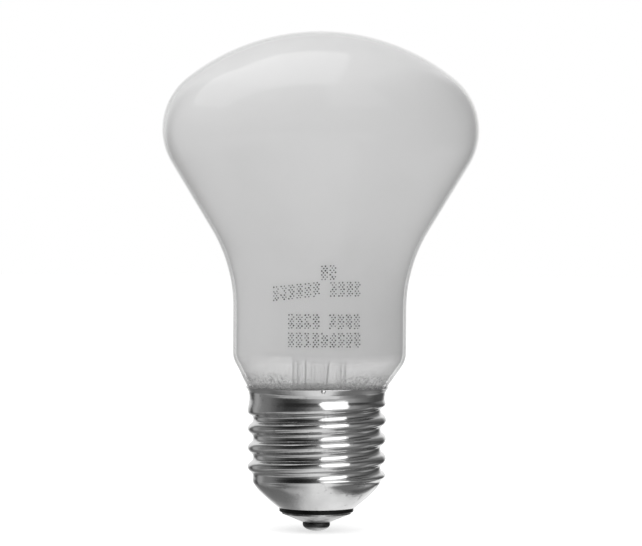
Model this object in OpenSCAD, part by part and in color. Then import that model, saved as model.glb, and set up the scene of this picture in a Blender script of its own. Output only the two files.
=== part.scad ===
// Burnt-out opal lamp with a mushroom-shaped glass bulb on a medium screw cap.
// Millimetres, +Z towards the crown. The origin is the tip of the centre contact, on the cap's axis.

/* [Glass bulb] */
// Widest diameter of the bulb
bulb_d = 60.2; // [54:0.1:75]
// Radius of the shallow crown
crown_r = 40.6; // [38:0.1:60]
// Radius of the shoulder, where the bulb is widest
shoulder_r = 12.4; // [8:0.1:14]
// Lean of the straight flank from the axis, in degrees
flank_lean = 31.3; // [25:0.1:38]
// Radius of the waist that runs into the neck
waist_r = 28.2; // [15:0.1:34]
// Diameter of the straight neck
neck_d = 33; // [30:0.1:40]
// Length of the straight neck
neck_straight = 8.1; // [2:0.1:30]
// Radius at the foot of the neck
foot_r = 4.8; // [2:0.1:6]
// Lean of the foot's cone from the axis, in degrees
foot_lean = 34; // [28:0.5:40]
// Thickness of the blown glass
glass_t = 0.7; // [0.4:0.05:1]
// Radius of the little pip at the crown
pip_r = 1.6; // [0.8:0.1:3]
// Height of the pip
pip_h = 0.3; // [0.1:0.05:0.6]
// How far the glass sits to one side of the cap's axis
glass_shift = 0.4; // [0:0.05:0.6]

/* [Stem] */
// How far below the cap's lip the neck is sealed to the stem
seal_depth = 4.6; // [4.2:0.1:6]
// Outer diameter of the stem's flare tube
flare_d = 10.3; // [9:0.1:11]
// Thickness of the stem's glass
stem_t = 0.9; // [0.6:0.05:1.1]
// Length of the flare tube, from the seal to the flat press
flare_l = 15.2; // [12:0.1:20]
// Height of the press
press_h = 8; // [6:0.5:12]
// Width of the press
press_w = 10.6; // [9:0.1:12]
// Thickness of the press
press_t = 4; // [3:0.1:5]
// Outer diameter of the exhaust tube
exhaust_d = 3.2; // [2.6:0.1:3.9]
// Wall of the exhaust tube
exhaust_t = 0.64; // [0.4:0.02:0.9]
// Length of the exhaust tube, from the press to its melted tip
exhaust_l = 25; // [16:0.5:25]
// Diameter of the glass rod that carries the supports
rod_d = 2.2; // [1.6:0.1:3]
// Height of the rod's button above the press
rod_h = 12; // [8:0.5:16]
// Diameter of the rod's button
button_d = 4.4; // [3.6:0.1:6]

/* [Wires] */
// Distance of the seal wires from the stem's axis
seal_wire_x = 2.6; // [2.2:0.1:3.2]
// Diameter of the seal wires in the press
seal_wire_d = 0.4; // [0.3:0.05:0.6]
// Diameter of the leads inside the bulb
inner_lead_d = 0.6; // [0.4:0.05:0.8]
// Diameter of the leads inside the cap
outer_lead_d = 0.3; // [0.2:0.02:0.32]
// Diameter of the fuse wire
fuse_d = 0.24; // [0.15:0.01:0.3]
// Length of the fuse wire
fuse_l = 9; // [5:0.5:12]
// Diameter of the filament's supports
support_d = 0.25; // [0.2:0.05:0.4]
// Outer diameter of the coiled filament
filament_d = 0.8; // [0.5:0.05:1.2]
// Height of the filament above the top of the press
filament_up = 23; // [18:0.5:30]
// Half the distance between the lead ends
filament_x = 11; // [9:0.5:13]
// How far the filament bows forwards
filament_bow = 8; // [6:0.5:10]
// Where the break starts and ends, as shares of the filament's run
break_from = 0.57; // [0.52:0.01:0.6]
break_to = 0.66; // [0.63:0.01:0.7]

/* [Screw cap] */
// Diameter over the thread's crests
crest_d = 26.25; // [20:0.05:32]
// Depth of the thread
thread_depth = 1.02; // [0.8:0.02:1.1]
// Pitch of the thread
pitch = 3.63; // [3:0.01:4.4]
// Length of the threaded part, with its run-outs
thread_l = 14.9; // [12:0.1:18]
// Height of the front crest above the thread's lower end
front_crest_up = 7.4; // [5:0.1:9]
// Height of the smooth collar
collar_h = 1.7; // [1.2:0.1:4]
// How much the collar is drawn in at its top, on the radius
collar_in = 0.22; // [0:0.02:0.4]
// Height of the lip that flares out above the collar
lip_h = 1.5; // [1.2:0.1:2]
// How far the lip flares out, on the radius
lip_out = 0.8; // [0.6:0.05:1.2]
// Thickness of the cap's sheet, measured across the axis
cap_t = 0.35; // [0.25:0.05:0.42]
// Radius between the thread and the lower cone
cone_round_r = 1.5; // [1:0.1:2]
// Lean of the lower cone from the axis, in degrees
cone_lean = 50; // [40:1:54]
// Height of the lower cone
cone_h = 4.85; // [4:0.05:6]

/* [Contact] */
// Height of the insulator's visible ring
ring_h = 0.8; // [0.5:0.05:1.5]
// How far the ring stands in from the sheet's lower edge, on the radius
ring_in = 0.1; // [0:0.02:0.3]
// Height of the insulator inside the cap
insulator_h = 2.95; // [2.4:0.05:3.4]
// How far the contact plate stands in from the ring, on the radius
plate_in = 0.5; // [0.3:0.05:1]
// Depth of the contact plate's dish
plate_dish = 1.73; // [1:0.01:2.4]
// Diameter of the contact plate's flat middle
plate_flat_d = 4.8; // [4:0.1:6]
// Thickness of the contact plate
plate_t = 0.3; // [0.2:0.05:0.5]
// Diameter of the hole for the centre lead
lead_hole_d = 2.4; // [1.6:0.1:3]
// Diameter of the solder drop at the centre contact
drop_d = 5.2; // [4:0.1:6.4]
// Height of the solder drop below the plate
drop_h = 1.62; // [1.2:0.02:2]
// Height of the drop's straight side
drop_side_h = 0.37; // [0.1:0.01:0.6]
// Length of the solder spot along the lip
spot_l = 1.5; // [1:0.1:2.5]
// Thickness of the solder spot
spot_t = 0.35; // [0.2:0.05:0.5]
// How far the solder spot reaches down the outside of the lip
spot_h = 0.9; // [0.6:0.1:1.2]

/* [Fits] */
// Gap between the glass and the cap's lip
lip_gap = 0.1; // [0.08:0.01:0.2]
// Gap around pieces that are set in cement or in the insulator's glass
set_gap = 0.03; // [0.02:0.01:0.1]
// Room around the wires in the press and in the cement
wire_gap = 0.02; // [0.01:0.01:0.05]
// Gap between the seal and the inside of the thread
seal_gap = 0.35; // [0.32:0.01:0.5]

/* [Hidden] */
$fn = 96;
arc_steps = 14;     // points along each arc of the glass outline
cap_sides = 48;     // sides of the screw cap's rolled sheet
rows_per_pitch = 7; // rings of the rolled sheet in one pitch
wire_sides = 8;

// Heights of the contact and the cap, from the tip of the contact upwards
plate_rim_z = drop_h + plate_dish;
cap_edge_z = plate_rim_z + plate_t + ring_h;
insulator_z = cap_edge_z + insulator_h;
thread_z = cap_edge_z + cone_h;
front_crest_z = thread_z + front_crest_up;
collar_z = thread_z + thread_l;
flare_z = collar_z + collar_h;
lip_z = flare_z + lip_h;

// Radii of the cap's sheet
crest_r = crest_d / 2;
root_r = crest_r - thread_depth;
collar_r = crest_r - collar_in;
lip_r = collar_r + lip_out;

// Heights and radii of the glass parts that go into the cap
seal_z = lip_z - seal_depth;
seal_r = root_r - cap_t - seal_gap - glass_shift;
press_z = seal_z + flare_l;
press_top_z = press_z + press_h;
filament_z = press_top_z + filament_up;
neck_r = neck_d / 2;
lip_glass_r = lip_r - cap_t - glass_shift - lip_gap;

// Glass outline, worked out from the lip of the cap upwards
foot_top_z = lip_z + foot_r * sin(foot_lean)
    + (neck_r - foot_r * (1 - cos(foot_lean)) - lip_glass_r) / tan(foot_lean);
waist_z = foot_top_z + neck_straight;
shoulder_x = bulb_d / 2 - shoulder_r;
crown_turn = asin(shoulder_x / (crown_r - shoulder_r));
flank_top_x = shoulder_x + shoulder_r * cos(flank_lean);
flank_foot_x = neck_r + waist_r * (1 - cos(flank_lean));
flank_top_z = waist_z + waist_r * sin(flank_lean) + (flank_top_x - flank_foot_x) / tan(flank_lean);
shoulder_z = flank_top_z + shoulder_r * sin(flank_lean);
crown_z = shoulder_z - (crown_r - shoulder_r) * cos(crown_turn);
seal_bend_z = lip_z - (lip_glass_r - seal_r) / tan(foot_lean);
flare_x = seal_r - glass_t;
flare_curve_r = flare_x - flare_d / 2;
flare_top_z = seal_z + flare_curve_r;
echo(overall_length = crown_z + crown_r + pip_h);

// Points of an arc about [x, z], from angle a to angle b, counted from straight up
function arc(x, z, r, a, b) = [
    for (i = [0 : arc_steps]) let (t = a + (b - a) * i / arc_steps) [x + r * sin(t), z + r * cos(t)]
];

// The bulb's outline from the crown down to the seal, taken in by t towards the inside
function glass_outline(t) = concat(
    arc(0, crown_z, crown_r - t, 0, crown_turn),
    arc(shoulder_x, shoulder_z, shoulder_r - t, crown_turn, 90 + flank_lean),
    arc(neck_r + waist_r, waist_z, waist_r + t, 270 + flank_lean, 270),
    arc(neck_r - foot_r, foot_top_z, foot_r - t, 90, 90 + foot_lean),
    [[seal_r - t, seal_bend_z - t * tan(foot_lean / 2)], [seal_r - t, seal_z]]
);

module wire(points, d, across = [0, 1, 0]) {
    last = len(points) - 1;
    function unit(v) = v / norm(v);
    function along(i) = unit(points[min(i + 1, last)] - points[max(i - 1, 0)]);
    rings = [
        for (i = [0 : last]) let (u = unit(cross(along(i), across)), v = cross(along(i), u))
            for (k = [0 : wire_sides - 1])
                points[i] + d / 2 * (cos(360 * k / wire_sides) * u + sin(360 * k / wire_sides) * v)
    ];
    sides = [
        for (i = [0 : last - 1], k = [0 : wire_sides - 1])
            let (n = (k + 1) % wire_sides, a = i * wire_sides, b = a + wire_sides)
                [a + k, a + n, b + n, b + k]
    ];
    start = [[for (k = [wire_sides - 1 : -1 : 0]) k]];
    end = [[for (k = [0 : wire_sides - 1]) last * wire_sides + k]];
    polyhedron(rings, concat(sides, start, end));
}

// Everything made of glass, and what is sealed into it, stands on this axis
module on_glass_axis() translate([glass_shift, 0, 0]) children();

// One blown piece of clear glass: its opal coat is a finish
module glass_bulb() {
    inside = glass_outline(glass_t);
    pip = [
        for (i = [0 : 4]) let (x = pip_r * i / 4)
            [x, crown_z + sqrt(crown_r * crown_r - x * x) + pip_h * (1 + cos(180 * i / 4)) / 2]
    ];
    outside = [for (p = glass_outline(0)) if (p[0] > pip_r) p];
    color("gainsboro", 0.8) on_glass_axis() rotate_extrude()
        polygon(concat(pip, outside, [for (i = [len(inside) - 1 : -1 : 0]) inside[i]]));
}

// Tube that is flared to meet the neck and pressed flat over the seal wires
module stem_flare() {
    skirt = concat(
        [[flare_d / 2, press_z]], arc(flare_x, flare_top_z, flare_curve_r, 270, 180),
        [[seal_r, seal_z], [seal_r, seal_z - stem_t]],
        arc(flare_x, flare_top_z, flare_curve_r + stem_t, 180, 270), [[flare_d / 2 - stem_t, press_z]]
    );
    color("lightcyan", 0.7) on_glass_axis() {
        rotate_extrude() polygon(skirt);
        translate([0, 0, press_z]) difference() {
            linear_extrude(press_h) {
                square([press_w - press_t, press_t], center = true);
                for (s = [-1, 1]) translate([s * (press_w - press_t) / 2, 0]) circle(d = press_t);
            }
            for (s = [-1, 1]) translate([s * seal_wire_x, 0, -1])
                cylinder(d = seal_wire_d + 2 * wire_gap, h = press_h + 2);
        }
    }
}

// Thin tube through which the bulb was pumped, melted shut inside the cap
module exhaust_tube() {
    r = exhaust_d / 2;
    bore_r = r - exhaust_t;
    tip_z = press_z - exhaust_l;
    color("lightcyan", 0.7) on_glass_axis() rotate_extrude() polygon(concat(
        [[bore_r, press_z], [r, press_z]], arc(0, tip_z + r, r, 90, 180),
        [[0, tip_z + r], [bore_r, tip_z + 2 * r]]
    ));
}

// Solid glass rod on the press, with its end squashed into a button around the supports
module support_rod() {
    button_z = press_top_z + rod_h;
    color("lightcyan", 0.7) on_glass_axis() rotate_extrude() polygon(concat(
        [[0, press_top_z], [rod_d / 2, press_top_z], [rod_d / 2, button_z - button_d / 4]],
        arc(button_d / 4, button_z, button_d / 4, 135, 0), [[0, button_z + button_d / 4]]
    ));
}

module seal_wire(side) {
    color("indianred") on_glass_axis() translate([side * seal_wire_x, 0, press_z])
        cylinder(d = seal_wire_d, h = press_h);
}
module seal_wire_left() seal_wire(-1);
module seal_wire_right() seal_wire(1);

// Nickel lead from the press up to the filament's end, where it is bent over and clamped
module inner_lead(side) {
    color("silver") on_glass_axis() wire([
        for (p = [
            [seal_wire_x, press_top_z], [seal_wire_x, press_top_z + 2],
            [seal_wire_x + 0.6, press_top_z + 4],
            [filament_x - 0.6, filament_z - 4],
            [filament_x, filament_z - 1.6], [filament_x, filament_z - filament_d / 2]
        ]) [side * p[0], 0, p[1]]
    ], inner_lead_d);
}
module inner_lead_left() inner_lead(-1);
module inner_lead_right() inner_lead(1);

// A point of the filament's bow, from 0 at the left lead to 1 at the right lead
function filament_at(share) = [
    -filament_x * cos(180 * share), -filament_bow * sin(180 * share), filament_z
];

// Molybdenum support from the button to the filament
module support_wire(share) {
    top = filament_at(share);
    way = [top[0], top[1], 0] / norm([top[0], top[1]]);
    start = way * (button_d / 2 + set_gap) + [0, 0, press_top_z + rod_h];
    color("dimgray") on_glass_axis() wire([
        start, start + way * 0.8 + [0, 0, 0.2],
        top - way * 1.2 - [0, 0, 2], top - [0, 0, (filament_d + support_d) / 2]
    ], support_d, [-way[1], way[0], 0]);
}
support_shares = [0.25, 0.5, 0.75];
module support_wire_left() support_wire(support_shares[0]);
module support_wire_middle() support_wire(support_shares[1]);
module support_wire_right() support_wire(support_shares[2]);

// Coiled tungsten wire, drawn as a plain tube of the coil's outer diameter. It runs from its lead
// past its last support, and hangs down from there to the break.
module filament(lead, support, broken_end, droop) {
    steps = 14;
    color("black") on_glass_axis() wire([
        for (i = [0 : steps]) let (
            share = lead + (broken_end - lead) * i / steps,
            free = max((share - support) / (broken_end - support), 0)
        ) filament_at(share) - [0, 0, droop * free * free]
    ], filament_d, [0, 0, 1]);
}
module filament_left() filament(0, support_shares[1], break_from, 0.8);
module filament_right() filament(1, support_shares[2], break_to, 0.6);

// Thin wire that burns through before the mains fuse does
module fuse_wire() {
    color("darkgoldenrod") on_glass_axis()
        wire([[-seal_wire_x, 0, press_z], [-seal_wire_x, 0, press_z - fuse_l]], fuse_d);
}

// Copper lead from the fuse down to the centre contact
module centre_lead() {
    below_exhaust_z = press_z - exhaust_l - 1;
    start_x = glass_shift - seal_wire_x;
    color("peru") wire([
        [start_x, 0, press_z - fuse_l], [start_x, 0, below_exhaust_z + 4],
        [start_x * 0.7, 0, below_exhaust_z], [0, 0, insulator_z + 1], [0, 0, drop_h + 2 * plate_t]
    ], outer_lead_d);
}

// Copper lead from the press, down the flare, round the seal and up between glass and sheet to the
// lip. lead_x is how far it comes up to the right of the middle of the front.
lead_x = 1.1;
flare_way_r = flare_curve_r + stem_t + 0.8;
under_seal_z = flare_top_z - flare_way_r;
past_seal_r = (seal_r + root_r - cap_t) / 2 + 0.1;
lead_lift = outer_lead_d / 2 / cos(foot_lean) + set_gap;
function beside_foot(z) = -(lip_glass_r - (lip_z - z) * tan(foot_lean) + lead_lift);
side_route = concat([
    [seal_wire_x + glass_shift, 0, press_z], [seal_wire_x + glass_shift, 0, press_z - 2],
    [2.7, -0.8, press_z - 4], [2.1, -2.4, (press_z - 4 + flare_top_z) / 2]
], [
    for (t = [0 : 22.5 : 90])
        [1.8 - t / 225, flare_way_r * cos(t) - flare_x, flare_top_z - flare_way_r * sin(t)]
], [
    [1.4, 0.6 - past_seal_r, under_seal_z], [1.3, -past_seal_r, under_seal_z + 0.7],
    [1.2, -past_seal_r, seal_bend_z - 0.6], [1.15, beside_foot(lip_z - 2.2), lip_z - 2.2],
    [lead_x, beside_foot(lip_z - 0.8), lip_z - 0.8], [lead_x, beside_foot(lip_z - 0.1), lip_z - 0.1],
    [lead_x, beside_foot(lip_z), lip_z + set_gap]
]);
module side_lead() color("peru") wire(side_route, outer_lead_d, [1, 0, 0]);

// Radius of the rolled thread at a distance from its crest
round_r = (thread_depth * thread_depth + pitch * pitch / 4) / (4 * thread_depth);
function thread_r(off) = off < pitch / 4
    ? crest_r - round_r + sqrt(round_r * round_r - off * off)
    : root_r + round_r - sqrt(round_r * round_r - pow(pitch / 2 - off, 2));

// Distance along the axis from the nearest crest of the right-handed helix
function crest_off(z, a) = let (turns = (z - front_crest_z) / pitch - (a - 270) / 360)
    pitch * abs(turns - round(turns));
function fade(z, from, to) = let (s = min(max((z - from) / (to - from), 0), 1)) s * s * (3 - 2 * s);

// Outside radius of the cap's sheet at height z and angle a
cone_z = thread_z - cone_round_r * sin(cone_lean);
cone_x = root_r - cone_round_r * (1 - cos(cone_lean));
thread_fade_z = 1.5;
function upper_r(z) = z > flare_z
    ? collar_r + lip_out * pow((z - flare_z) / lip_h, 1.5)
    : collar_r + collar_in * (flare_z - z) / collar_h;
function lower_r(z) = z > cone_z
    ? root_r - cone_round_r + sqrt(cone_round_r * cone_round_r - pow(thread_z - z, 2))
    : cone_x - (cone_z - z) * tan(cone_lean);
function cap_r(z, a) =
    z >= collar_z ? upper_r(z)
    : z <= thread_z ? lower_r(z)
    : z > front_crest_z
        ? thread_r(crest_off(z, a))
            + (crest_r - thread_r(crest_off(z, a))) * fade(z, collar_z - thread_fade_z, collar_z)
        : root_r + (thread_r(crest_off(z, a)) - root_r) * fade(z, thread_z, thread_z + thread_fade_z);

// Thin sheet, drawn and rolled: its inside follows its outside
module screw_shell() {
    thread_rows = round((collar_z - thread_z) / pitch * rows_per_pitch);
    heights = concat(
        [cap_edge_z, cone_z, (cone_z + thread_z) / 2],
        [for (i = [0 : thread_rows]) thread_z + (collar_z - thread_z) * i / thread_rows],
        [flare_z], [for (i = [1 : 3]) flare_z + (lip_z - flare_z) * i / 3]
    );
    top = len(heights) - 1;
    rows = 2 * len(heights);
    points = [
        for (i = [0 : rows - 1], k = [0 : cap_sides - 1])
            let (z = heights[i <= top ? i : rows - 1 - i], a = 360 * k / cap_sides)
                let (r = cap_r(z, a) - (i <= top ? 0 : cap_t)) [r * cos(a), r * sin(a), z]
    ];
    faces = [
        for (i = [0 : rows - 1], k = [0 : cap_sides - 1], half = [0, 1])
            let (a = i * cap_sides, b = (i + 1) % rows * cap_sides, n = (k + 1) % cap_sides)
                half == 0 ? [a + k, b + k, b + n] : [a + k, b + n, a + n]
    ];
    color("silver") polyhedron(points, faces);
}

// The sheet's inside radius that a round piece can fill, clear of the middle of its flat sides
function seat_r(r) = (r - cap_t) * cos(180 / cap_sides) - set_gap;

// Ring of basing cement between the glass neck and the collar
module basing_cement() {
    low = collar_z + 0.1;
    high = lip_z - 0.8;
    levels = [for (i = [0 : 4]) flare_z + (high - flare_z) * i / 4];
    glass = [for (p = glass_outline(0)) if (p[1] < foot_top_z) p + [set_gap, 0]];
    color("tan") difference() {
        rotate_extrude() polygon(concat(
            [[0, low], [seat_r(upper_r(low)), low]],
            [for (z = levels) [seat_r(upper_r(z)), z]], [[0, high]]
        ));
        on_glass_axis() rotate_extrude()
            polygon(concat([[0, foot_top_z - 1]], glass, [[0, seal_z]]));
        wire(side_route, outer_lead_d + 2 * wire_gap, [1, 0, 0]);
    }
}

// Black glass that was melted into the cap's cone, with the contact plate pressed into it
ring_r = lower_r(cap_edge_z) - ring_in;
plate_r = ring_r - plate_in;
module insulator() {
    hole_r = lead_hole_d / 2;
    under = plate_t + set_gap;
    edge_r = seat_r(lower_r(cap_edge_z));
    dish_r = seat_r(lower_r(insulator_z));
    color([0.08, 0.08, 0.09]) rotate_extrude() polygon([
        [hole_r, drop_h + under], [plate_flat_d / 2, drop_h + under],
        [plate_r, plate_rim_z + under], [ring_r - 0.15, plate_rim_z + under],
        [ring_r, plate_rim_z + under + 0.15], [ring_r, cap_edge_z - set_gap],
        [edge_r, cap_edge_z - set_gap], [edge_r, cap_edge_z],
        [dish_r, insulator_z], [dish_r - 1.2, insulator_z],
        [plate_r - 0.5, insulator_z - 2], [hole_r, insulator_z - 2]
    ]);
}

// Dished metal plate with a hole for the lead
module contact_plate() {
    color("lightgray") rotate_extrude() polygon([
        [lead_hole_d / 2, drop_h], [plate_flat_d / 2, drop_h], [plate_r, plate_rim_z],
        [plate_r, plate_rim_z + plate_t], [plate_flat_d / 2, drop_h + plate_t],
        [lead_hole_d / 2, drop_h + plate_t]
    ]);
}

// Solder that fills the plate's hole and stands below it as a drop
module centre_solder() {
    stub_r = lead_hole_d / 2 - set_gap;
    top = drop_h + 2 * plate_t;
    round_h = drop_h - drop_side_h;
    color("gray") rotate_extrude() polygon(concat(
        [[0, 0]],
        [for (i = [1 : 8]) [drop_d / 2 * sin(90 * i / 8), round_h * (1 - cos(90 * i / 8))]],
        [[drop_d / 2, drop_h], [stub_r, drop_h], [stub_r, top], [0, top]]
    ));
}

// Spot of solder that is wrapped over the lip, from the end of the side lead to the outside
module side_solder() {
    levels = [for (i = [0 : 4]) lip_z - spot_h * (1 - i / 4)];
    lead_end = side_route[len(side_route) - 1];
    lead_r = norm([lead_end[0], lead_end[1]]);
    turn = spot_l / lip_r * 180 / PI;
    color("gray") rotate([0, 0, atan2(lead_end[1], lead_end[0]) - turn / 2])
        rotate_extrude(angle = turn) polygon(concat(
            [for (z = levels) [upper_r(z) + set_gap, z]],
            [[lip_r + set_gap, lip_z + set_gap], [lead_r - outer_lead_d / 4, lip_z + set_gap],
             [lead_r + outer_lead_d, lip_z + spot_t], [lip_r, lip_z + spot_t]],
            [for (i = [4 : -1 : 1]) [upper_r(levels[i]) + spot_t * sqrt(i / 4), levels[i]]]
        ));
}

glass_bulb();
stem_flare();
exhaust_tube();
support_rod();
seal_wire_left();
seal_wire_right();
inner_lead_left();
inner_lead_right();
support_wire_left();
support_wire_middle();
support_wire_right();
filament_left();
filament_right();
fuse_wire();
centre_lead();
side_lead();
screw_shell();
basing_cement();
insulator();
contact_plate();
centre_solder();
side_solder();
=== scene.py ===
import math
import random

import bpy
from mathutils import Matrix, Vector, noise


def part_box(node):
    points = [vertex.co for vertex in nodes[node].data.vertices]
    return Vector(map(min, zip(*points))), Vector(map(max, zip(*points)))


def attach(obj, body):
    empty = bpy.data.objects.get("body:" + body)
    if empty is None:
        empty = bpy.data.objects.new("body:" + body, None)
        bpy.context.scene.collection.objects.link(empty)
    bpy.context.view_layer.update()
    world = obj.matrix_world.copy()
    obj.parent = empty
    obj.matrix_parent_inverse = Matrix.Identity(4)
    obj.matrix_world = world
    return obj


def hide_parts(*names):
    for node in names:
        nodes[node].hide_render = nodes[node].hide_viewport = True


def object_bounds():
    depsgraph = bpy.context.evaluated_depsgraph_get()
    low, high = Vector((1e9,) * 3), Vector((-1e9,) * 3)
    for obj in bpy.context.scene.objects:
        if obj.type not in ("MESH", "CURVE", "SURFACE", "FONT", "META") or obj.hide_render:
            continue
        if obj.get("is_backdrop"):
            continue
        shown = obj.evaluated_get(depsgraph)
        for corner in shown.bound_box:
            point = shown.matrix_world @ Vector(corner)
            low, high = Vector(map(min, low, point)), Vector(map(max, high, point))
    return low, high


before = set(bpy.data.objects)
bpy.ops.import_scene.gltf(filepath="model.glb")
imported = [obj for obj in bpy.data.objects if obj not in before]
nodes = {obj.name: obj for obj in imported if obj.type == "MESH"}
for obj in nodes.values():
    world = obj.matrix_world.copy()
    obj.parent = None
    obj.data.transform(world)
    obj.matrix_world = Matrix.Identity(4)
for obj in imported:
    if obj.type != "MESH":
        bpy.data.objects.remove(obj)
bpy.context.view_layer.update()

MM = 0.001  # sizes below are in millimetres, and Blender's are in metres

# ---------------------------------------------------------------------------------------------
# Studio: the lamp stands on its contact on a white table, in front of a white backdrop. A tall
# softbox stands at the front right, a wide one hangs over the left, and a third, which nothing
# mirrors, lights the lamp from the front left.
camera_distance = 430
camera_height = 49
camera_side = 0.6
seen_width = 122.05   # how much the camera sees across, at the lamp's axis
sensor_width = 36
camera_roll = 0.35    # degrees, the way that leans the lamp to the right

camera_data = bpy.data.cameras.new("camera")
camera_data.sensor_width = sensor_width
camera_data.lens = sensor_width * camera_distance / seen_width
camera = bpy.data.objects.new("camera", camera_data)
bpy.context.scene.collection.objects.link(camera)
level = Matrix.Rotation(math.pi / 2, 4, "X")
camera.matrix_world = (
    Matrix.Translation(Vector((camera_side, -camera_distance, camera_height)) * MM)
    @ level
    @ Matrix.Rotation(math.radians(camera_roll), 4, "Z")
)
bpy.context.scene.camera = camera
bpy.context.scene.view_settings.view_transform = "Standard"
bpy.context.scene.cycles.transparent_max_bounces = 32


class Value:
    """A number that varies over a surface: sums and products of values add Math nodes."""

    def __init__(self, finish, socket):
        self.finish, self.socket = finish, socket

    def maths(self, operation, *others):
        inputs = dict(enumerate([self, *others]))
        return self.finish.node("Math", {"operation": operation}, inputs)

    def __add__(self, other):
        return self.maths("ADD", other)

    def __mul__(self, other):
        return self.maths("MULTIPLY", other)

    def __sub__(self, other):
        return self.maths("SUBTRACT", other)

    def __truediv__(self, other):
        return self.maths("DIVIDE", other)

    def __rsub__(self, other):
        return self.finish.node("Math", {"operation": "SUBTRACT"}, {0: other, 1: self})

    def __pow__(self, other):
        return self.maths("POWER", other)

    __radd__, __rmul__ = __add__, __mul__


class Finish:
    """A material or world as it is made: its node tree, and one way to add a node to it."""

    def __init__(self, owner, output_kind):
        owner.use_nodes = True
        self.owner, self.tree = owner, owner.node_tree
        self.tree.nodes.clear()
        self.output = self.tree.nodes.new(output_kind)

    def node(self, kind, settings=None, inputs=None, output=0):
        made = self.tree.nodes.new("ShaderNode" + kind)
        for name, setting in (settings or {}).items():
            if name == "stops":
                stops = made.color_ramp.elements
                for i, (place, grey) in enumerate(setting):
                    stop = stops[i] if i < 2 else stops.new(place)
                    stop.position = place
                    stop.color = (grey, grey, grey, 1)
            else:
                setattr(made, name, setting)
        for name, given in (inputs or {}).items():
            self.feed(made.inputs[name], given)
        return Value(self, made.outputs[output])

    def feed(self, socket, given):
        if isinstance(given, Value):
            self.tree.links.new(given.socket, socket)
        else:
            socket.default_value = given

    def show(self, shader):
        self.tree.links.new(shader.socket, self.output.inputs["Surface"])


def grey(level):
    return (level, level, level, 1)


# The room gives soft light, strongest from above, and is white behind the lamp. The lamp's metal
# and glass mirror a busier room: its walls, by compass direction from the north, behind the lamp,
# round by the lamp's right, then the bright middle and dark sides of the table below, and the
# ceiling above.
room = Finish(bpy.data.worlds.new("studio"), "ShaderNodeOutputWorld")
bpy.context.scene.world = room.owner
room.owner.cycles.sampling_method = "NONE"
way = room.node("TexCoord", output="Generated")
east = room.node("SeparateXYZ", inputs={0: way}, output="X")
north = room.node("SeparateXYZ", inputs={0: way}, output="Y")
up = room.node("SeparateXYZ", inputs={0: way}, output="Z")
compass = (east.maths("ARCTAN2", north) / (2 * math.pi) + 1).maths("FRACT")
across = east * 0.5 + 0.5


def blend(value, start, stop):
    """0 to 1 as a value goes from start to stop."""
    return value.finish.node("MapRange", {"interpolation_type": "SMOOTHSTEP"}, {
        "Value": value, "From Min": start, "From Max": stop, "To Min": 0, "To Max": 1,
    })


walls = room.node("ValToRGB", {"stops": [
    (0.0, 1.0), (0.04, 1.0), (0.06, 0.4), (0.08, 0.1), (0.17, 0.11), (0.22, 0.16), (0.28, 0.28),
    (0.33, 0.5), (0.37, 0.6), (0.47, 0.6), (0.51, 0.4), (0.55, 0.16), (0.6, 0.07),
    (0.65, 0.06), (0.70, 0.14), (0.75, 0.25), (0.80, 0.28), (0.835, 0.5), (0.865, 0.45),
    (0.885, 0.1), (0.905, 0.1), (0.94, 0.4), (0.96, 0.95), (1.0, 1.0),
]}, {0: compass})
table_front = room.node("ValToRGB", {"stops": [
    (0.0, 0.12), (0.15, 0.2), (0.22, 0.4), (0.3, 0.6), (0.4, 0.85), (0.5, 1.1),
    (0.64, 1.1), (0.70, 0.5), (0.75, 0.25), (1.0, 0.25),
]}, {0: across})
table_back = room.node("ValToRGB", {"stops": [
    (0.0, 0.4), (0.22, 0.2), (0.32, 0.25), (0.36, 0.42), (0.4, 0.85), (0.5, 1.0),
    (0.65, 1.15), (0.71, 1.0), (0.74, 0.2), (0.78, 0.12), (0.85, 0.3), (1.0, 0.8),
]}, {0: across})
table_far = room.node("ValToRGB", {"stops": [
    (0.0, 0.3), (0.08, 0.7), (0.45, 0.85), (0.6, 1.0), (0.76, 1.1), (0.84, 0.5), (0.94, 0.2),
    (1.0, 0.2),
]}, {0: across})
in_front = room.node("MixRGB", inputs={0: blend(up * -1, 0.4, 0.6), 1: table_far, 2: table_front})
table_seen = room.node("MixRGB", inputs={0: blend(north, 0.0, 0.3), 1: in_front, 2: table_back})
high = room.node("MixRGB", {"blend_type": "MULTIPLY"}, {0: blend(up, 0.2, 0.5), 1: walls, 2: grey(0.3)})
overhead = room.node("ValToRGB", {"stops": [
    (0.0, 0.25), (0.17, 0.3), (0.24, 1.0), (0.5, 1.0), (0.66, 1.1), (0.74, 0.5), (0.8, 0.25),
    (1.0, 0.15),
]}, {0: across})
upper = room.node("MixRGB", inputs={0: blend(up * 0.8 + north * 0.6, 0.4, 0.62), 1: high, 2: overhead})
white_side = blend(compass, 0.33, 0.36) * (1 - blend(compass, 0.47, 0.50)) * blend(up, 0.3, 0.5)
lit_upper = room.node("MixRGB", inputs={0: white_side, 1: upper, 2: grey(1.1)})
mirrored = room.node("MixRGB", inputs={0: blend(up * -1, 0.22, 0.38), 1: lit_upper, 2: table_seen})
glossy = room.node("LightPath", output="Is Glossy Ray")
seen = room.node("LightPath", output="Is Camera Ray")
soft_light = room.node("MixRGB", inputs={0: up.maths("MAXIMUM", 0), 1: grey(0.04), 2: grey(0.90)})
lit = room.node("MixRGB", inputs={0: glossy, 1: soft_light, 2: mirrored})
shade = room.node("MixRGB", inputs={0: seen, 1: lit, 2: grey(1.0)})
room.show(room.node("Background", inputs={"Color": shade, "Strength": 1.0}))


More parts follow.
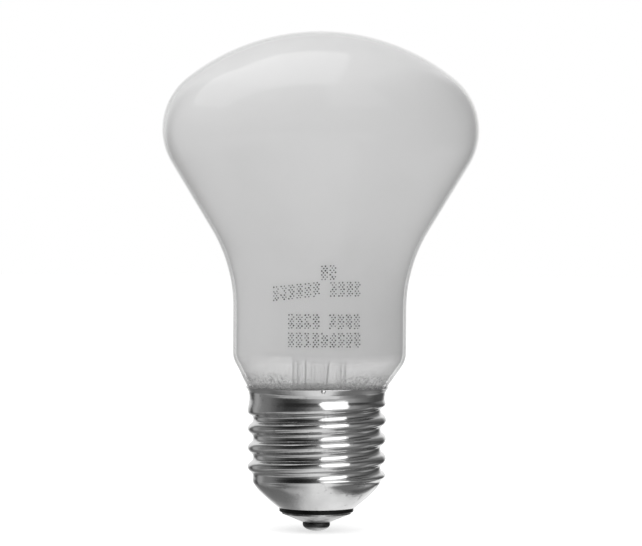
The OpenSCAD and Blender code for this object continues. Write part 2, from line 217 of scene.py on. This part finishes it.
def softbox(name, centre, target, across, tall, radiance):
    """A rectangular light that faces a target. Its places and sizes are in metres."""
    lamp = bpy.data.lights.new(name, "AREA")
    lamp.shape = "RECTANGLE"
    lamp.size, lamp.size_y = across, tall
    lamp.energy = radiance * math.pi * across * tall
    box = bpy.data.objects.new(name, lamp)
    bpy.context.scene.collection.objects.link(box)
    box.location = centre
    aim = Vector(target) - Vector(centre)
    box.rotation_euler = aim.to_track_quat("-Z", "Y").to_euler()
    box.visible_camera = False
    return box


front_right_box = softbox("front_right_box", (0.457, -0.738, 0.40), (0, 0, 0.05), 0.80, 1.0, 1.5)
overhead_box = softbox("overhead_box", (-0.56, 0.07, 0.68), (-0.45, 0.07, 0.08), 0.78, 1.36, 1.3)
even_light = softbox("even_light", (-0.35, -0.85, 1.05), (0, 0, 0.06), 1.4, 1.4, 1.35)
even_light.visible_glossy = False

# Table: plain white board, just under the contact and wide enough to run out of sight.
table_half = 30       # metres
table_drop = 0.0002   # metres
table_mesh = bpy.data.meshes.new("table")
table_mesh.from_pydata(
    [(x * table_half, y * table_half, -table_drop) for x, y in ((-1, -1), (1, -1), (1, 1), (-1, 1))],
    [], [(0, 1, 2, 3)],
)
table = bpy.data.objects.new("table", table_mesh)
bpy.context.scene.collection.objects.link(table)
board = Finish(bpy.data.materials.new("white_board"), "ShaderNodeOutputMaterial")
looked_at = board.node("LightPath", output="Is Camera Ray")
board_glow = board.node("MixRGB", inputs={0: looked_at, 1: grey(0.32), 2: grey(1.0)})
board_paint = board.node("BsdfPrincipled", inputs={
    "Base Color": grey(0.8), "Roughness": 0.9, "Specular IOR Level": 0.0,
    "Emission Color": board_glow, "Emission Strength": 0.58,
})
underneath = board.node("NewGeometry", output="Backfacing")
see_through = board.node("BsdfTransparent")
board.show(board.node("MixShader", inputs={0: underneath, 1: board_paint, 2: see_through}))
table_mesh.materials.append(board.owner)
board.owner.cycles.emission_sampling = "NONE"
table.visible_glossy = False
table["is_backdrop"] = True


# ---------------------------------------------------------------------------------------------
# Glass bulb: one piece of clear glass, blown to a mushroom shape and drawn off at the crown,
# where a small pip is left. White powder is fused to its inside and stops short of the cap.
bulb_r = 30.1
crown_curve, shoulder_curve, waist_curve, foot_curve = 40.6, 12.4, 28.2, 4.8
flank_lean = math.radians(31.3)
foot_lean = math.radians(31.5)
neck_r = 16.5
glass_wall = 0.7
pip_r, pip_h = 1.6, 0.3
lip_z = 27.4         # height of the cap's lip, which the glass comes out of
lip_glass_r = 13.26
seal_z, seal_r = 22.8, 11.0
glass_off_axis = 0.42
dust_low_z, dust_high_z = 30.4, 32.4
coat_end_z = 33.4
coat_ragged = 3.2    # how far the coat's end wanders up and down
crown_top_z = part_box("glass_bulb")[1].z / MM - pip_h


def arc(x, z, r, start, stop, steps):
    """Points of an arc, from straight up round to the outside."""
    turns = [start + (stop - start) * i / steps for i in range(steps + 1)]
    return [(x + r * math.sin(t), z + r * math.cos(t)) for t in turns]


shoulder_x = bulb_r - shoulder_curve
crown_turn = math.asin(shoulder_x / (crown_curve - shoulder_curve))
crown_z = crown_top_z - crown_curve
shoulder_z = crown_z + (crown_curve - shoulder_curve) * math.cos(crown_turn)
flank_top_x = shoulder_x + shoulder_curve * math.cos(flank_lean)
flank_top_z = shoulder_z - shoulder_curve * math.sin(flank_lean)
flank_foot_x = neck_r + waist_curve * (1 - math.cos(flank_lean))
flank_foot_z = flank_top_z - (flank_top_x - flank_foot_x) / math.tan(flank_lean)
waist_z = flank_foot_z - waist_curve * math.sin(flank_lean)
foot_end_x = neck_r - foot_curve * (1 - math.cos(foot_lean))
foot_end_z = lip_z + (foot_end_x - lip_glass_r) / math.tan(foot_lean)
foot_top_z = foot_end_z + foot_curve * math.sin(foot_lean)
seal_bend_z = lip_z - (lip_glass_r - seal_r) / math.tan(foot_lean)


def between(a, b, steps):
    """Points between two corners of the outline, without the corners."""
    return [
        (a[0] + (b[0] - a[0]) * i / steps, a[1] + (b[1] - a[1]) * i / steps)
        for i in range(1, steps)
    ]


crown = [
    (x, z + pip_h * max(0, 1 - x / pip_r) ** 1.4)
    for x, z in arc(0, crown_z, crown_curve, 0, crown_turn, 60)
]
shoulder = arc(shoulder_x, shoulder_z, shoulder_curve, crown_turn, math.pi / 2 + flank_lean, 30)
waist = arc(neck_r + waist_curve, waist_z, -waist_curve, math.pi / 2 + flank_lean, math.pi / 2, 18)
foot = arc(neck_r - foot_curve, foot_top_z, foot_curve, math.pi / 2, math.pi / 2 + foot_lean, 10)
outline = (
    crown + shoulder[1:] + between(shoulder[-1], waist[0], 12) + waist
    + between(waist[-1], foot[0], 8) + foot
    + between(foot[-1], (seal_r, seal_bend_z), 12) + [(seal_r, seal_bend_z), (seal_r, seal_z)]
)


def smooth(value, start, stop):
    t = min(max((value - start) / (stop - start), 0), 1)
    return t * t * (3 - 2 * t)


def taken_in(points, wall):
    """The outline moved inwards by the wall's thickness."""
    inner = []
    for i, (x, z) in enumerate(points):
        before, after = points[max(i - 1, 0)], points[min(i + 1, len(points) - 1)]
        dx, dz = after[0] - before[0], after[1] - before[1]
        length = math.hypot(dx, dz)
        inner.append((max(x + wall * dz / length, 0), z - wall * dx / length))
    return inner


def glass_axis(z):
    """How far the glass stands off the cap's axis: it is a little crooked in its foot."""
    return glass_off_axis * smooth(z, lip_z - 0.5, 32) + 0.4 * smooth(lip_z - z, 1, 4)


def place(piece_name, points, faces, material):
    """A new piece from points in millimetres."""
    mesh = bpy.data.meshes.new(piece_name)
    mesh.from_pydata([Vector(p) * MM for p in points], [], faces)
    mesh.materials.append(material)
    mesh.polygons.foreach_set("use_smooth", [True] * len(mesh.polygons))
    mesh.update()
    piece = bpy.data.objects.new(piece_name, mesh)
    bpy.context.scene.collection.objects.link(piece)
    return piece


def spun(rings, sides, axis_at=lambda z: 0):
    """Points and faces of rings of (radius, height), which may start and end on the axis."""
    on_axis = 1e-6
    points, faces, starts = [], [], []
    for r, z in rings:
        starts.append(len(points))
        if r < on_axis:
            points.append((axis_at(z), 0, z))
        else:
            for k in range(sides):
                a = 2 * math.pi * k / sides
                points.append((axis_at(z) + r * math.cos(a), r * math.sin(a), z))
    for i in range(len(rings) - 1):
        this, after = starts[i], starts[i + 1]
        for k in range(sides):
            n = (k + 1) % sides
            if rings[i][0] < on_axis:
                faces.append((this, after + k, after + n))
            elif rings[i + 1][0] < on_axis:
                faces.append((this + k, after, this + n))
            else:
                faces.append((this + k, after + k, after + n, this + n))
    return points, faces


def clear_glass(name, mirror_and_rim_shade_grey, painted_rim_shade, rim_shade_falloff, wave):
    """Clear glass in front of whatever is behind it: it mirrors more where it turns away, and a dark
    rim of painted shade is added there.
    """
    glass = Finish(bpy.data.materials.new(name), "ShaderNodeOutputMaterial")
    spot = glass.node("TexCoord", output="Object")
    ripple = glass.node("TexNoise", inputs={"Vector": spot, "Scale": 60, "Detail": 2})
    bump = glass.node("Bump", inputs={"Strength": wave, "Distance": 0.001, "Height": ripple})
    turned = glass.node("LayerWeight", inputs={"Blend": 0.5}, output="Facing")
    mirror = turned ** 5 * 0.96 + 0.04
    # Past the mirroring, an added term paints a dark rim of shade where the glass turns away.
    mirror_and_painted_rim = (mirror + turned ** rim_shade_falloff * painted_rim_shade).maths("MINIMUM", 1)
    return glass, glass.node("BsdfPrincipled", inputs={
        "Base Color": grey(mirror_and_rim_shade_grey), "Metallic": 1, "Roughness": 0.11,
        "Normal": bump, "Alpha": mirror_and_painted_rim,
    })


# The bulb's glass gets a painted dark rim of shade along its outline.
outer_glass, outer_shine = clear_glass("clear_glass", 0.56, 0.8, 7, 0.06)

# Dust and a little cement stick to the glass just above the lip. The dust is made thicker towards the
# left and right, as painted shade on those sides.
spot = outer_glass.node("TexCoord", output="Object")
spot_z = outer_glass.node("SeparateXYZ", inputs={0: spot}, output="Z") / MM
grains = outer_glass.node("TexNoise", inputs={"Vector": spot, "Scale": 1500, "Detail": 3})
patches = outer_glass.node("TexNoise", inputs={"Vector": spot, "Scale": 140, "Detail": 2})
near_lip = 1 - blend(spot_z + patches * 4, dust_low_z, dust_high_z)
aside = outer_glass.node("SeparateXYZ", inputs={0: spot}, output="X").maths("ABSOLUTE") / MM
# Painted shade: more dust towards the left and right sides.
painted_side_shade = blend(aside, 2, 9) * 0.6 + 0.4
grainy = outer_glass.node("MapRange", inputs={
    "Value": grains, "From Min": 0.46, "From Max": 0.62, "To Min": 0, "To Max": 0.8,
})
dirt_grey = outer_glass.node("ValToRGB", {"stops": [(0.35, 0.05), (0.7, 0.5)]}, {0: grains})
dirt = outer_glass.node("BsdfPrincipled", inputs={
    "Base Color": dirt_grey, "Roughness": 0.8, "Specular IOR Level": 0.2,
})
outer_skin = outer_glass.node("MixShader", inputs={
    0: near_lip * grainy * painted_side_shade, 1: outer_shine, 2: dirt,
})
outer_glass.show(outer_skin)

# The coat: fine white powder, a shade thinner in places, with a soft ragged end in the neck.
coat = Finish(bpy.data.materials.new("opal_coat"), "ShaderNodeOutputMaterial")
spot = coat.node("TexCoord", output="Object")
spot_z = coat.node("SeparateXYZ", inputs={0: spot}, output="Z") / MM
drift = coat.node("TexNoise", inputs={"Vector": spot, "Scale": 90, "Detail": 3})
powder = coat.node("TexNoise", inputs={"Vector": spot, "Scale": 2600, "Detail": 2})
cloud = coat.node("TexNoise", inputs={"Vector": spot, "Scale": 45, "Detail": 2})
ragged_z = spot_z + drift * coat_ragged - coat_ragged / 2
full = blend(ragged_z, coat_end_z - 2.2, coat_end_z + 1.2)
thin_film = 0.55
covered = full * (1 - thin_film) + (cloud * 0.2 + thin_film - 0.1)
powder_grey = coat.node("ValToRGB", {"stops": [(0.25, 0.80), (0.75, 0.86)]}, {
    0: cloud * 0.75 + powder * 0.25,
})
powder_bump = coat.node("Bump", inputs={"Strength": 0.05, "Distance": 0.0002, "Height": powder})
powder_face = coat.node("BsdfPrincipled", inputs={
    "Base Color": powder_grey, "Roughness": 0.7, "Specular IOR Level": 0.3,
    "Normal": powder_bump,
})
powder_glow = coat.node("BsdfTranslucent", inputs={"Color": grey(0.83)})
powder_film = coat.node("MixShader", inputs={0: 0.5, 1: powder_face, 2: powder_glow})
turned = coat.node("LayerWeight", inputs={"Blend": 0.5}, output="Facing")
bare = turned ** 5 * 0.96 + 0.04
bare_face = coat.node("BsdfPrincipled", inputs={
    "Base Color": grey(0.7), "Metallic": 1, "Roughness": 0.05, "Alpha": bare,
})
coat.show(coat.node("MixShader", inputs={0: covered, 1: bare_face, 2: powder_film}))

glass_sides = 192
inner_outline = taken_in(outline, glass_wall)
inner_outline[0] = (0, crown_z + crown_curve - glass_wall)
inner_outline[-1] = (seal_r - glass_wall, seal_z)
rings = outline + inner_outline[::-1]
glass_points, glass_faces = spun(rings, glass_sides, glass_axis)
glass = place("glass_bulb_blown", glass_points, glass_faces, outer_glass.owner)
glass.data.materials.append(coat.owner)
inner_from = glass_sides * (len(outline) - 1) + 1
for polygon in glass.data.polygons:
    if min(polygon.vertices) >= inner_from:
        polygon.material_index = 1
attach(glass, "root")
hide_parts("glass_bulb")


# ---------------------------------------------------------------------------------------------
# Print: four short lines of dark ink dots on the neck, stamped by a dot printer that ran a
# little crooked. The dots stand in plain blocks of checks, all alike, that spell nothing.
ink_proud = 0.02
dot_r = 0.15
block_rows, block_columns = 7, 4
row_step = 0.40
column_step = 0.31
block_gap = 0.32
dot_wander = 0.035
missing_share = 0.06   # dots that the printer dropped


def glass_radius(z):
    """Radius of the glass's outside at a height in the neck."""
    for (r1, z1), (r2, z2) in zip(outline, outline[1:]):
        if z2 <= z <= z1:
            return r1 + (r2 - r1) * (z - z1) / (z2 - z1)
    return neck_r


def printed_line(dots, blocks, left, top, slant, seed):
    """Dots of one line of blocks."""
    luck = random.Random(seed)
    for block in range(blocks):
        block_left = left + block * (block_columns * column_step + block_gap)
        for column in range(block_columns):
            x = block_left + column * column_step
            for row in range(block_rows):
                if (column + row) % 2 == 0 and luck.random() > missing_share:
                    z = top - row * row_step + slant * (x - left)
                    dots.append((
                        x + luck.uniform(-dot_wander, dot_wander),
                        z + luck.uniform(-dot_wander, dot_wander),
                        dot_r * luck.uniform(0.75, 1.1),
                    ))


dots = []
for blocks, left, top, slant, seed in (
    (2, 0.35, 50.2, 0.05, 3), (6, -8.9, 46.3, 0.11, 5), (4, 2.0, 47.2, 0.02, 6),
    (4, -5.8, 41.3, 0.0, 8), (4, 1.9, 41.3, 0.0, 9), (9, -5.8, 37.9, 0.0, 11),
):
    printed_line(dots, blocks, left, top, slant, seed)

ink_points, ink_faces = [], []
dot_sides = 8
for across, height, radius in dots:
    reach = glass_radius(height) + ink_proud
    turn = across / reach
    first = len(ink_points)
    ink_points.append((glass_axis(height) + reach * math.sin(turn), -reach * math.cos(turn), height))
    for k in range(dot_sides):
        a = 2 * math.pi * k / dot_sides
        edge_turn = turn + radius * math.cos(a) / reach
        edge_z = height + radius * math.sin(a)
        edge_reach = glass_radius(edge_z) + ink_proud * 0.4
        ink_points.append((
            glass_axis(edge_z) + edge_reach * math.sin(edge_turn),
            -edge_reach * math.cos(edge_turn), edge_z,
        ))
    for k in range(dot_sides):
        ink_faces.append((first, first + 1 + k, first + 1 + (k + 1) % dot_sides))
    ink_faces.append(tuple(first + 1 + k for k in reversed(range(dot_sides))))

ink = Finish(bpy.data.materials.new("printing_ink"), "ShaderNodeOutputMaterial")
spot = ink.node("TexCoord", output="Object")
thin = ink.node("TexNoise", inputs={"Vector": spot, "Scale": 700, "Detail": 2})
ink_grey = ink.node("ValToRGB", {"stops": [(0.3, 0.02), (0.75, 0.16)]}, {0: thin})
ink.show(ink.node("BsdfPrincipled", inputs={
    "Base Color": ink_grey, "Roughness": thin * 0.4 + 0.35,
}))
print_dots = place("print_dots", ink_points, ink_faces, ink.owner)
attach(print_dots, "root")


# ---------------------------------------------------------------------------------------------
# Stem: lead-glass tubes. The flare is sealed to the neck at the bottom and pressed flat over
# the wires at the top, with the pump tube inside it and a solid rod on the press.
# The tubes get a painted dark rim of shade along their edges.
stem_glass, stem_shine = clear_glass("lead_glass", 0.1, 0.9, 6, 0.1)
stem_glass.show(stem_shine)
for name in ("stem_flare", "exhaust_tube", "support_rod"):
    nodes[name].material_slots[0].material = stem_glass.owner


# ---------------------------------------------------------------------------------------------
# Wires: copper-clad wires are sealed into the press, with nickel leads above them, molybdenum
# supports in the rod's button, and thin copper leads and a fuse below.
def drawn_wire(name, dark, light, rough):
    wire = Finish(bpy.data.materials.new(name), "ShaderNodeOutputMaterial")
    where = wire.node("TexCoord", output="Object")
    tarnish = wire.node("TexNoise", inputs={"Vector": where, "Scale": 350, "Detail": 4})
    draw_marks = wire.node("TexNoise", inputs={"Vector": where, "Scale": 3000, "Detail": 1})
    colour = wire.node("MixRGB", inputs={0: tarnish, 1: dark, 2: light})
    marks = wire.node("Bump", inputs={
        "Strength": 0.15, "Distance": 0.00005, "Height": draw_marks,
    })
    wire.show(wire.node("BsdfPrincipled", inputs={
        "Base Color": colour, "Metallic": 1, "Roughness": tarnish * 0.3 + rough,
        "Normal": marks,
    }))
    return wire.owner


copper = drawn_wire("tinned_copper_wire", (0.16, 0.155, 0.15, 1), (0.42, 0.41, 0.40, 1), 0.25)
nickel = drawn_wire("nickel_wire", (0.28, 0.27, 0.25, 1), (0.62, 0.60, 0.57, 1), 0.2)
molybdenum = drawn_wire("molybdenum_wire", (0.16, 0.16, 0.17, 1), (0.42, 0.42, 0.43, 1), 0.3)
wire_finish = {
    "seal_wire_left": copper, "seal_wire_right": copper, "side_lead": copper,
    "centre_lead": copper, "fuse_wire": copper,
    "inner_lead_left": nickel, "inner_lead_right": nickel,
    "support_wire_left": molybdenum, "support_wire_middle": molybdenum,
    "support_wire_right": molybdenum,
}
for name, metal in wire_finish.items():
    nodes[name].material_slots[0].material = metal


# ---------------------------------------------------------------------------------------------
# Filament: tungsten wire wound into a close coil and hung in a bow between the leads. It burnt
# through at its thinnest turn, so it is in two halves with balled ends.
coil_wire_r = 0.07
coil_r = 0.33
coil_step = 0.24
filament_reach, filament_bow = 11, 8
filament_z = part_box("filament_left")[1].z / MM - (coil_r + coil_wire_r)
stem_axis = 0.4
# Shares of the way along the bow: where each half ends, and a point in the gap between them.
break_left, break_middle, break_right = 0.57, 0.6, 0.66
droop_left, droop_right = 0.8, 0.6


def bow_point(share):
    """A point of the bow, from 0 at the left lead to 1 at the right lead. A loose end droops."""
    if share < break_middle:
        droop = droop_left * smooth(share, 0.5, break_left)
    else:
        droop = droop_right * smooth(1 - share, 0.25, 1 - break_right)
    return Vector((
        stem_axis - filament_reach * math.cos(math.pi * share),
        -filament_bow * math.sin(math.pi * share), filament_z - droop,
    ))


def coil(start, stop, burnt):
    """Points and faces of a coil along the bow, whose wire melts to a ball at the burnt end."""
    steps, around = 1400, 6
    span, length = bow_point(start), 0
    centres = []
    for i in range(steps + 1):
        share = start + (stop - start) * i / steps
        here = bow_point(share)
        length += (here - span).length
        span = here
        ahead = (bow_point(share + 1e-3) - bow_point(share - 1e-3)).normalized()
        side = ahead.cross(Vector((0, 0, 1))).normalized()
        rise = side.cross(ahead)
        turn = 2 * math.pi * length / coil_step
        left = i / steps if burnt == "start" else 1 - i / steps
        tight = coil_r * min(1, left * 60 + 0.15)
        centres.append((here + tight * (math.cos(turn) * side + math.sin(turn) * rise), left))
    points, faces = [], []
    for i, (centre, left) in enumerate(centres):
        ahead = (centres[min(i + 1, steps)][0] - centres[max(i - 1, 0)][0]).normalized()
        side = ahead.cross(Vector((0, 0, 1))).normalized()
        rise = side.cross(ahead)
        ball = 1 + 1.6 * max(0, 1 - left * 250)
        for k in range(around):
            a = 2 * math.pi * k / around
            points.append(centre + coil_wire_r * ball * (math.cos(a) * side + math.sin(a) * rise))
    for i in range(steps):
        for k in range(around):
            n = (k + 1) % around
            a, b = i * around, (i + 1) * around
            faces.append((a + k, b + k, b + n, a + n))
    faces.append(tuple(range(around)))
    faces.append(tuple(steps * around + k for k in reversed(range(around))))
    return points, faces


tungsten = drawn_wire("tungsten_wire", (0.10, 0.10, 0.11, 1), (0.30, 0.30, 0.32, 1), 0.4)
for name, start, stop, burnt in (
    ("filament_left", 0, break_left, "stop"), ("filament_right", break_right, 1, "start"),
):
    half = place(name + "_coil", *coil(start, stop, burnt), tungsten)
    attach(half, "root")
    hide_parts(name)


# ---------------------------------------------------------------------------------------------
# Screw cap: thin nickel-plated sheet. Its thread is rolled in, its lip is flared out to take
# the glass, and its lower end is drawn in to a cone that holds the insulator.
crest_r, root_r, pitch = 13.125, 12.105, 3.63
front_crest_z = 16.7
top_crest_z = front_crest_z + 2 * pitch
flare_z = 24.95
collar_r, lip_r = 12.87, 13.69
thread_z, cap_edge_z = 9.3, 4.45
cone_edge_r, cone_hollow = 7.24, 1.3   # the lower cone is spun a little hollow
sheet = 0.35
lip_round = 0.1
run_out = 1.5
top_flat = 0.4       # how much the topmost crest is broadened
depth = crest_r - root_r
thread_round = (depth ** 2 + pitch ** 2 / 4) / (4 * depth)


def cone_radius(z):
    """Radius of the lower cone at a height."""
    down = (thread_z - z) / (thread_z - cap_edge_z)
    return root_r - (root_r - cone_edge_r) * down ** cone_hollow


def thread_radius(off):
    """Radius of the thread at a distance from its crest, up or down."""
    if off < pitch / 4:
        return crest_r - thread_round + math.sqrt(thread_round ** 2 - off ** 2)
    return root_r + thread_round - math.sqrt(thread_round ** 2 - (pitch / 2 - off) ** 2)


def thread_at(z, a):
    """Radius of the thread at a height and angle. Its topmost turn is broad and flat."""
    turn = (a / math.tau - 0.25) % 1 - 0.5    # 0 at the front, where the crests are measured
    below_top = top_crest_z + pitch * turn - z
    off = pitch * abs(below_top / pitch - round(below_top / pitch))
    if 0 < below_top < pitch / 2:
        flat = top_flat * (1 - smooth(abs(turn), 0.35, 0.5))
        off = max(0, below_top - flat) * (pitch / 2) / (pitch / 2 - flat)
    return thread_radius(off)


def collar_foot(a):
    """Height where the thread runs out into the collar: it climbs with the topmost turn."""
    turn = (a / math.tau - 0.25) % 1 - 0.5
    climbing = top_crest_z + pitch * min(turn, 0.07)
    return climbing + (top_crest_z - pitch / 2 - climbing) * smooth(turn, 0.38, 0.5)


def cap_radius(z, a):
    """Radius of the cap's outside at a height, and at an angle from the lamp's right."""
    if z >= flare_z:
        up_lip = (z - flare_z) / (lip_z - flare_z)
        bead = 0.025 * math.sin(6 * math.pi * up_lip) * smooth(up_lip, 0.3, 0.6)
        return collar_r + (lip_r - collar_r) * up_lip ** 3 + bead
    foot_z = collar_foot(a)
    if z >= foot_z:
        foot_r = thread_at(foot_z, a)
        return foot_r + (collar_r - foot_r) * smooth(z, foot_z, flare_z + 0.3)
    if z <= thread_z:
        return cone_radius(z)
    return root_r + (thread_at(z, a) - root_r) * smooth(z, thread_z, thread_z + run_out)


def dent(a, z):
    """Small unevenness of the rolled sheet."""
    where = Vector((math.cos(a) * 13, math.sin(a) * 13, z))
    return 0.035 * noise.noise(where * 0.22) + 0.012 * noise.noise(where * 0.9)


cap_sides = 216
cap_rows = 124
cap_points, cap_faces = [], []
heights = [cap_edge_z + (lip_z - cap_edge_z) * i / cap_rows for i in range(cap_rows + 1)]
sheet_rings = (
    [(z, 0.0) for z in heights[:-1]]
    + [(lip_z - lip_round, lip_round / 10), (lip_z, lip_round)]
    + [(lip_z, sheet - lip_round), (lip_z - lip_round, sheet)]
    + [(z, sheet) for z in reversed(heights[:-1])]
)
for z, inside in sheet_rings:
    for k in range(cap_sides):
        a = 2 * math.pi * k / cap_sides
        r = cap_radius(z, a) + dent(a, z) * smooth(lip_z - z, 0, 3) - inside
        cap_points.append((r * math.cos(a), r * math.sin(a), z))
for i in range(len(sheet_rings)):
    j = (i + 1) % len(sheet_rings)
    for k in range(cap_sides):
        n = (k + 1) % cap_sides
        cap_faces.append((
            i * cap_sides + k, i * cap_sides + n, j * cap_sides + n, j * cap_sides + k,
        ))

plate = Finish(bpy.data.materials.new("nickel_plate"), "ShaderNodeOutputMaterial")
spot = plate.node("TexCoord", output="Object")
haze = plate.node("TexNoise", inputs={"Vector": spot, "Scale": 160, "Detail": 4})
grime = plate.node("TexNoise", inputs={"Vector": spot, "Scale": 420, "Detail": 5, "Roughness": 0.7})
pits = plate.node("TexNoise", inputs={"Vector": spot, "Scale": 2200, "Detail": 2})
long_way = plate.node("VectorMath", {"operation": "MULTIPLY"}, {0: spot, 1: (60, 60, 2600)})
scratches = plate.node("TexNoise", inputs={"Vector": long_way, "Scale": 1, "Detail": 3})
grimy = blend(grime, 0.56, 0.72)
plate_grey = plate.node("ValToRGB", {"stops": [(0.25, 0.48), (0.75, 0.66)]}, {0: haze})
plate_colour = plate.node("MixRGB", inputs={0: grimy * 0.45, 1: plate_grey, 2: grey(0.2)})
worn = plate.node("Bump", inputs={
    "Strength": 0.16, "Distance": 0.0001, "Height": pits * 0.5 + scratches * 0.5,
})
plate.show(plate.node("BsdfPrincipled", inputs={
    "Base Color": plate_colour, "Metallic": 1,
    "Roughness": haze * 0.1 + grimy * 0.15 + 0.08, "Normal": worn,
}))
screw_shell = place("screw_shell_rolled", cap_points, cap_faces, plate.owner)
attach(screw_shell, "root")
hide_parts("screw_shell")


# ---------------------------------------------------------------------------------------------
# Cement: the baked ring of resin and chalk between the glass and the sheet.
cement = Finish(bpy.data.materials.new("baked_cement"), "ShaderNodeOutputMaterial")
spot = cement.node("TexCoord", output="Object")
lumps = cement.node("TexNoise", inputs={"Vector": spot, "Scale": 900, "Detail": 4})
cement_grey = cement.node("ValToRGB", {"stops": [(0.3, 0.22), (0.7, 0.62)]}, {0: lumps})
cement_bump = cement.node("Bump", inputs={"Strength": 0.5, "Distance": 0.0002, "Height": lumps})
cement.show(cement.node("BsdfPrincipled", inputs={
    "Base Color": cement_grey, "Roughness": 0.85, "Normal": cement_bump,
}))
nodes["basing_cement"].material_slots[0].material = cement.owner


# ---------------------------------------------------------------------------------------------
# Insulator: black glass, poured into the cone around the contact plate.
black = Finish(bpy.data.materials.new("poured_black_glass"), "ShaderNodeOutputMaterial")
spot = black.node("TexCoord", output="Object")
swirl = black.node("TexNoise", inputs={"Vector": spot, "Scale": 260, "Detail": 3})
black_grey = black.node("ValToRGB", {"stops": [(0.3, 0.002), (0.8, 0.01)]}, {0: swirl})
black_bump = black.node("Bump", inputs={"Strength": 0.2, "Distance": 0.0002, "Height": swirl})
black.show(black.node("BsdfPrincipled", inputs={
    "Base Color": black_grey, "Roughness": swirl * 0.15 + 0.2, "Specular IOR Level": 0.12,
    "Normal": black_bump,
}))
nodes["insulator"].material_slots[0].material = black.owner


# ---------------------------------------------------------------------------------------------
# Contact plate: a dished brass disc, nickel plated, in the middle of the insulator.
contact = Finish(bpy.data.materials.new("contact_plate_metal"), "ShaderNodeOutputMaterial")
spot = contact.node("TexCoord", output="Object")
smear = contact.node("TexNoise", inputs={"Vector": spot, "Scale": 500, "Detail": 5})
contact_grey = contact.node("ValToRGB", {"stops": [(0.35, 0.2), (0.6, 0.5)]}, {0: smear})
contact_bump = contact.node("Bump", inputs={
    "Strength": 0.25, "Distance": 0.0001, "Height": smear,
})
contact.show(contact.node("BsdfPrincipled", inputs={
    "Base Color": contact_grey, "Metallic": 1, "Roughness": smear * 0.2 + 0.22,
    "Normal": contact_bump,
}))
nodes["contact_plate"].material_slots[0].material = contact.owner


# ---------------------------------------------------------------------------------------------
# Solder: a drop over the centre lead's end and a small spot over the side lead's, both tin and
# lead, dull where they cooled and worn bright where the holder touched.
def soldered(name, dark, light, black_from_z):
    """Tin and lead solder, made black above a height."""
    solder = Finish(bpy.data.materials.new(name), "ShaderNodeOutputMaterial")
    spot = solder.node("TexCoord", output="Object")
    spot_z = solder.node("SeparateXYZ", inputs={0: spot}, output="Z") / MM
    cooled = solder.node("TexNoise", inputs={"Vector": spot, "Scale": 700, "Detail": 4})
    metal_grey = solder.node("ValToRGB", {"stops": [(0.3, dark), (0.7, light)]}, {0: cooled})
    # Above a height the solder is made black and not metallic.
    black_top = blend(spot_z + cooled * 0.4, black_from_z, black_from_z + 0.35)
    solder_grey = solder.node("MixRGB", inputs={0: black_top, 1: metal_grey, 2: grey(0.01)})
    solder_bump = solder.node("Bump", inputs={
        "Strength": 0.4, "Distance": 0.0002, "Height": cooled,
    })
    solder.show(solder.node("BsdfPrincipled", inputs={
        "Base Color": solder_grey, "Metallic": 1 - black_top, "Roughness": cooled * 0.25 + 0.2,
        "Normal": solder_bump,
    }))
    return solder.owner


nodes["centre_solder"].material_slots[0].material = soldered("tin_lead_drop", 0.2, 0.5, 0.85)

spot_low, spot_high = (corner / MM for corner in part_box("side_solder"))
blob_centre = (spot_low + spot_high) / 2
blob_half = Vector((0.46, 0.34, 0.40))
blob_uneven = 0.12
blob_rings, blob_sides = 14, 24
blob_turns = [math.pi * i / blob_rings for i in range(blob_rings + 1)]
blob_points, blob_faces = spun([(math.sin(t), math.cos(t)) for t in blob_turns], blob_sides)
blob_points = [
    blob_centre + Vector((x * blob_half.x, y * blob_half.y, z * blob_half.z))
    * (1 + blob_uneven * noise.noise(Vector((x, y, z)) * 1.7))
    for x, y, z in blob_points
]
side_solder = soldered("tin_lead_spot", 0.6, 0.9, 100)
blob = place("side_solder_spot", blob_points, blob_faces, side_solder)
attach(blob, "root")
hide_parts("side_solder")


# ---------------------------------------------------------------------------------------------
# What the softboxes light: the overhead one the glass alone, the front one all but the glass.
overhead_lights = bpy.data.collections.new("overhead_box_lights")
overhead_lights.objects.link(glass)
overhead_box.light_linking.receiver_collection = overhead_lights
front_passes = bpy.data.collections.new("front_right_box_passes")
front_passes.objects.link(glass)
front_passes.collection_objects[0].light_linking.link_state = "EXCLUDE"
front_right_box.light_linking.receiver_collection = front_passes

low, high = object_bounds()
